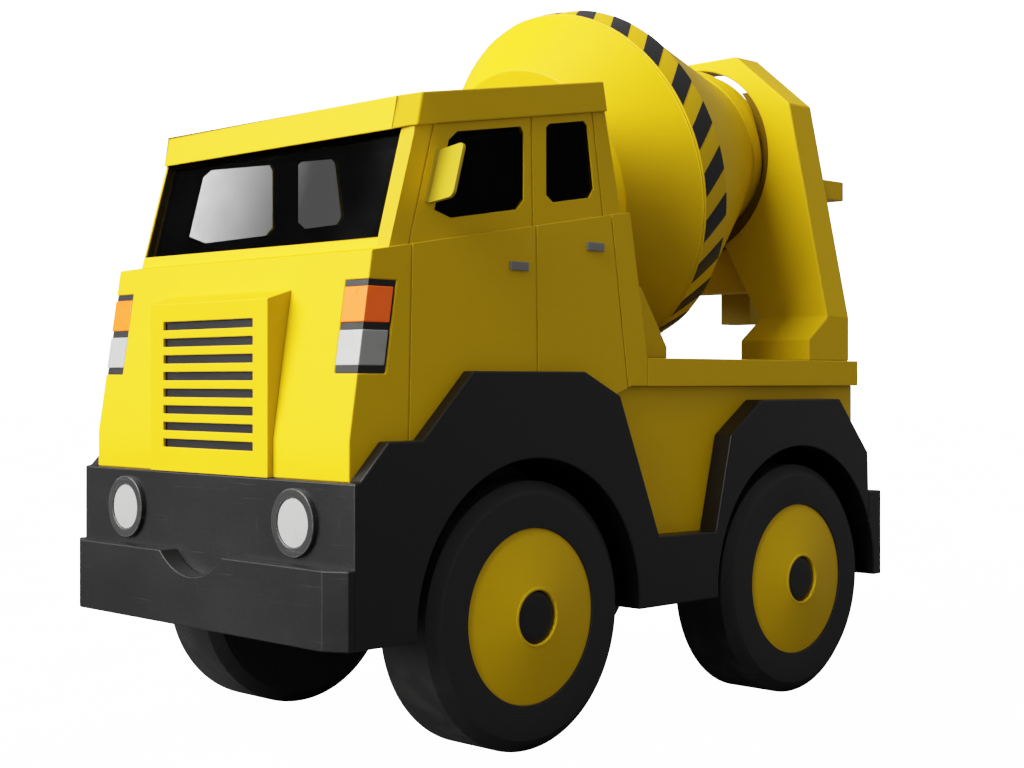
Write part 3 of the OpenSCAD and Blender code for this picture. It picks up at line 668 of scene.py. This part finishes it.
SOFT = {
    "chassis": 0.0006, "fender_shell": 0.0006, "front_bumper": 0.00035, "rear_bumper": 0.0006,
    "load_tub": 0.0004, "load_bed": 0.0003, "cab_roof": 0.0005, "drum_pedestal": 0.0007,
    "rear_frame": 0.0007, "neck_saddle": 0.0004, "rear_guard": 0.0005, "chute": 0.0003,
    "grille_surround": 0.0003, "lamp_housings": 0.0002, "turn_lenses": 0.00035, "marker_lenses": 0.00035,
    "door_handles": 0.0003,
}
for name, width in SOFT.items():
    soften(name, width)

for name, piece in nodes.items():
    if piece.hide_render:
        continue
    for held in piece.material_slots:
        held.material = SPECIAL.get(name) or MATERIALS[held.material.name.split(".")[0]]


# ------------------------------------------------------------------ room, light and camera


FLOOR_GLOW = (4.1, 4.3)
FLOOR_GLOW_SHARE = 0.86


def floor_material():
    """Pale matt floor that the lens sees as near white and that throws little light back up."""
    net = Net("pale_floor")
    speck = net.span(net.noise(14.0, 3.0), 0.3, 0.7, FLOOR_GLOW[0], FLOOR_GLOW[1])
    lit = net.add("BsdfDiffuse", {"Color": rgb(0.80, 0.80, 0.80)}).outputs[0]
    pale = net.add("Emission", {"Color": rgb(1.0, 1.0, 1.0), "Strength": speck}).outputs[0]
    dull = net.add("BsdfDiffuse", {"Color": rgb(0.10, 0.10, 0.10)}).outputs[0]
    seen = net.add("MixShader")
    net.put(seen.inputs[0], FLOOR_GLOW_SHARE)
    net.put(seen.inputs[1], lit)
    net.put(seen.inputs[2], pale)
    both = net.add("MixShader")
    net.put(both.inputs[0], net.add("LightPath").outputs["Is Camera Ray"])
    net.put(both.inputs[1], dull)
    net.put(both.inputs[2], seen.outputs[0])
    return net.finish(both.outputs[0])


def floor_disc(bm):
    bmesh.ops.create_circle(bm, cap_ends=True, segments=96, radius=6.0)


floor = new_piece("floor", floor_disc)
floor.data.materials.append(floor_material())


DOME_HEIGHT = (-0.5, 0.9)
DOME_STRENGTH = (0.17, 0.46)
BACKDROP = 4.3


def studio_world():
    """White to the lens, a soft dim dome to everything else, brighter overhead than below."""
    world = bpy.data.worlds.new("studio")
    world.use_nodes = True
    tree = world.node_tree
    tree.nodes.clear()
    out = tree.nodes.new("ShaderNodeOutputWorld")
    coords = tree.nodes.new("ShaderNodeTexCoord")
    split = tree.nodes.new("ShaderNodeSeparateXYZ")
    ramp = tree.nodes.new("ShaderNodeMapRange")
    dim = tree.nodes.new("ShaderNodeBackground")
    white = tree.nodes.new("ShaderNodeBackground")
    path = tree.nodes.new("ShaderNodeLightPath")
    mix = tree.nodes.new("ShaderNodeMixShader")
    tree.links.new(coords.outputs["Generated"], split.inputs[0])
    tree.links.new(split.outputs["Z"], ramp.inputs["Value"])
    ramp.inputs["From Min"].default_value = DOME_HEIGHT[0]
    ramp.inputs["From Max"].default_value = DOME_HEIGHT[1]
    ramp.inputs["To Min"].default_value = DOME_STRENGTH[0]
    ramp.inputs["To Max"].default_value = DOME_STRENGTH[1]
    tree.links.new(ramp.outputs[0], dim.inputs["Strength"])
    white.inputs["Strength"].default_value = BACKDROP
    white.inputs["Color"].default_value = (1, 1, 1, 1)
    dim.inputs["Color"].default_value = (1, 1, 1, 1)
    tree.links.new(path.outputs["Is Camera Ray"], mix.inputs[0])
    tree.links.new(dim.outputs[0], mix.inputs[1])
    tree.links.new(white.outputs[0], mix.inputs[2])
    tree.links.new(mix.outputs[0], out.inputs["Surface"])
    bpy.context.scene.world = world


studio_world()


def lamp(name, kind, energy, direction, **settings):
    data = bpy.data.lights.new(name, kind)
    data.energy = energy
    for key, value in settings.items():
        setattr(data, key, value)
    thing = bpy.data.objects.new(name, data)
    thing.rotation_mode = "QUATERNION"
    thing.rotation_quaternion = Vector(direction).normalized().to_track_quat("-Z", "Y")
    bpy.context.scene.collection.objects.link(thing)
    return thing


KEY_ENERGY = 9.8
KEY_DIRECTION = (0.30, 0.80, -0.55)
KEY_WIDTH = math.radians(61)
lamp("key", "SUN", KEY_ENERGY, KEY_DIRECTION, angle=KEY_WIDTH)

scene = bpy.context.scene
scene.view_settings.view_transform = "Standard"
scene.view_settings.look = "None"

FILM_WHITE = 4.0
FILM_KNEE = 0.25
FILM_FALL = 0.94
FILM_STEPS = 7


def film_shown(light):
    """How bright the film shows a light past the knee: a soft shoulder that ends at the white level."""
    rise = 1.0 - math.exp(-(light - FILM_KNEE) / FILM_FALL)
    full_rise = 1.0 - math.exp(-(FILM_WHITE - FILM_KNEE) / FILM_FALL)
    return FILM_KNEE + (1.0 - FILM_KNEE) * rise / full_rise


scene.view_settings.use_curve_mapping = True
film = scene.view_settings.curve_mapping
film.white_level = (FILM_WHITE, FILM_WHITE, FILM_WHITE)
shoulder = film.curves[3].points
shoulder[-1].location = (1.0, 1.0)
for step in range(FILM_STEPS):
    light = FILM_KNEE * (FILM_WHITE / FILM_KNEE) ** (step / FILM_STEPS)
    shoulder.new(light / FILM_WHITE, film_shown(light))
for point in shoulder:
    point.handle_type = "AUTO_CLAMPED"
film.update()

CAMERA_AT = (0.4453, -0.4464, 0.1203)
LOOK = (-0.7077, 0.7065, 0.0)
LENS_LENGTH = 57.75
SENSOR_WIDTH = 36.0
LENS_SHIFT = -0.00274
camera_data = bpy.data.cameras.new("camera")
camera_data.lens = LENS_LENGTH
camera_data.sensor_width = SENSOR_WIDTH
camera_data.shift_y = LENS_SHIFT
camera_data.clip_start = 0.01
camera_data.clip_end = 50.0
camera = bpy.data.objects.new("camera", camera_data)
camera.location = CAMERA_AT
camera.rotation_mode = "QUATERNION"
camera.rotation_quaternion = Vector(LOOK).to_track_quat("-Z", "Y")
scene.collection.objects.link(camera)
scene.camera = camera
